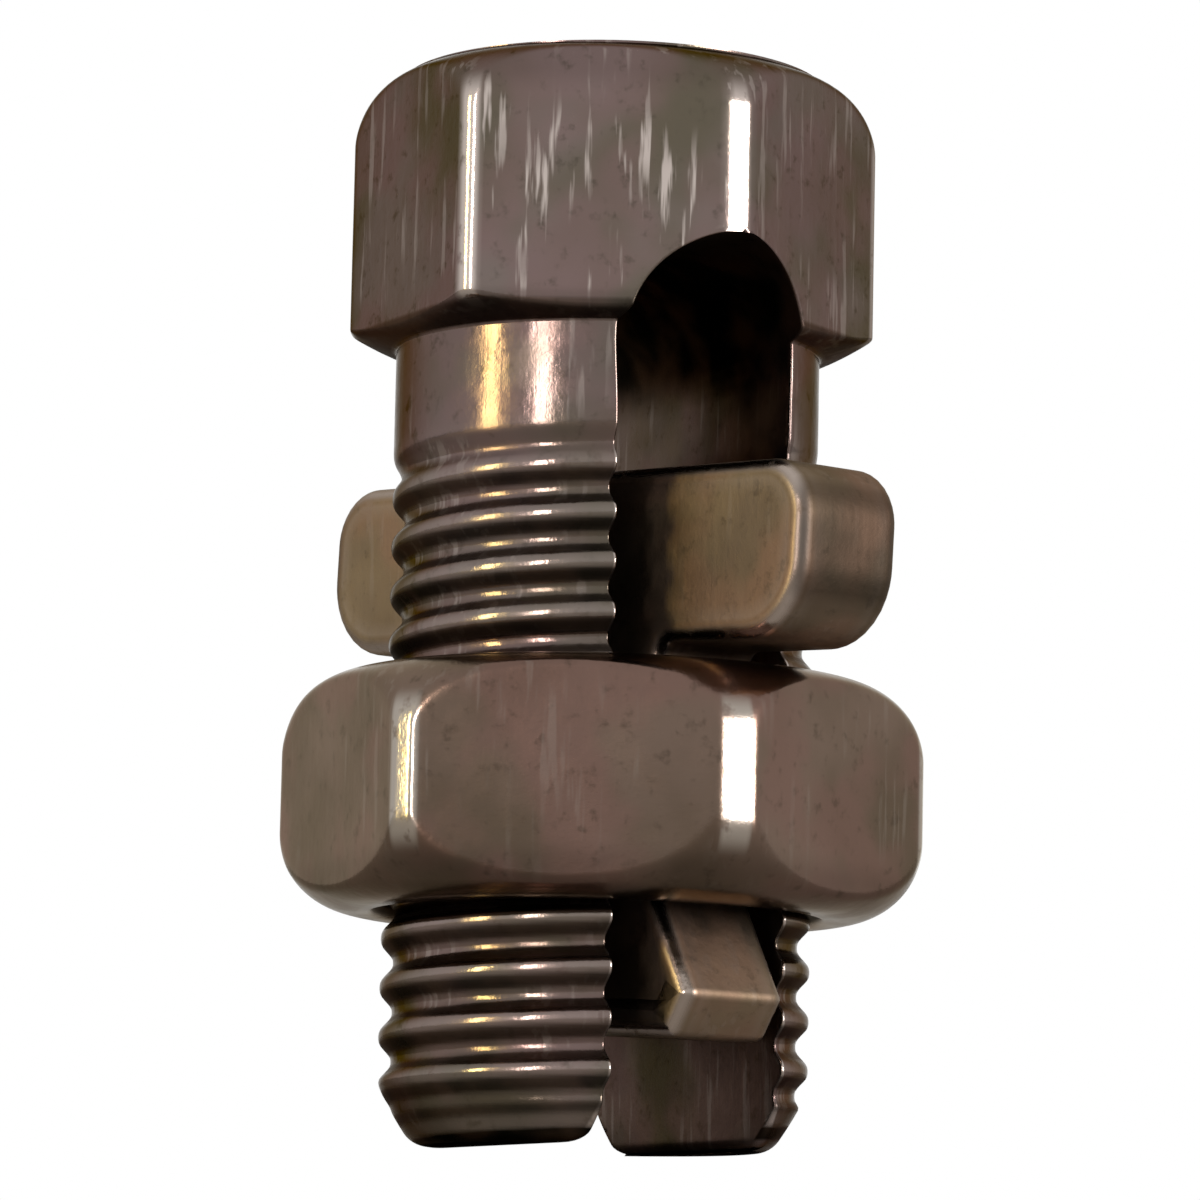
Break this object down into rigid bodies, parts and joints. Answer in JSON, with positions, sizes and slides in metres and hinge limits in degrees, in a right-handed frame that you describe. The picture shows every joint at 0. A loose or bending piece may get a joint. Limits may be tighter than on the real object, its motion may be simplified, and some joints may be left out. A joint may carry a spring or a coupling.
{
  "type": "split bolt connector",
  "caption": "Slotted hex-head bolt with a T-shaped pressure bar in its slot, lifted by a hex nut to clamp two conductors together.",
  "frame": {"origin": "on the bolt's axis in the plane of the two leg ends, on which it stands", "axes": "+Z along the bolt towards its head; the slot is open along +Y and -Y, with a leg on each side along X"},
  "size_m": [0.0154, 0.019, 0.0278],
  "materials": {
    "bolt_bronze": "tarnished satin with rubbed bright edges",
    "bar_bronze": "tarnished matt with rubbed edges",
    "nut_bronze": "tarnished satin with rubbed bright edges"
  },
  "bodies": {
    "bolt_body": {"bolt": "bolt_bronze"},
    "bar_body": {"pressure_bar": "bar_bronze"},
    "nut_body": {"nut": "nut_bronze"}
  },
  "joints": [
    {"name": "bar_slide", "type": "slide", "parent": "bolt_body", "child": "bar_body", "axis": [0, 0, 1], "range_m": [-0.01144, 0.00255]},
    {"name": "nut_turn", "type": "hinge", "parent": "bar_body", "child": "nut_body", "pos_m": [0, 0, 0.009], "axis": [0, 0, 1], "range_deg": [-3240, 720]}
  ],
  "couplings": [
    {"joint": "bar_slide", "follows": "nut_turn", "m_per_rad": 0.00020213}
  ]
}
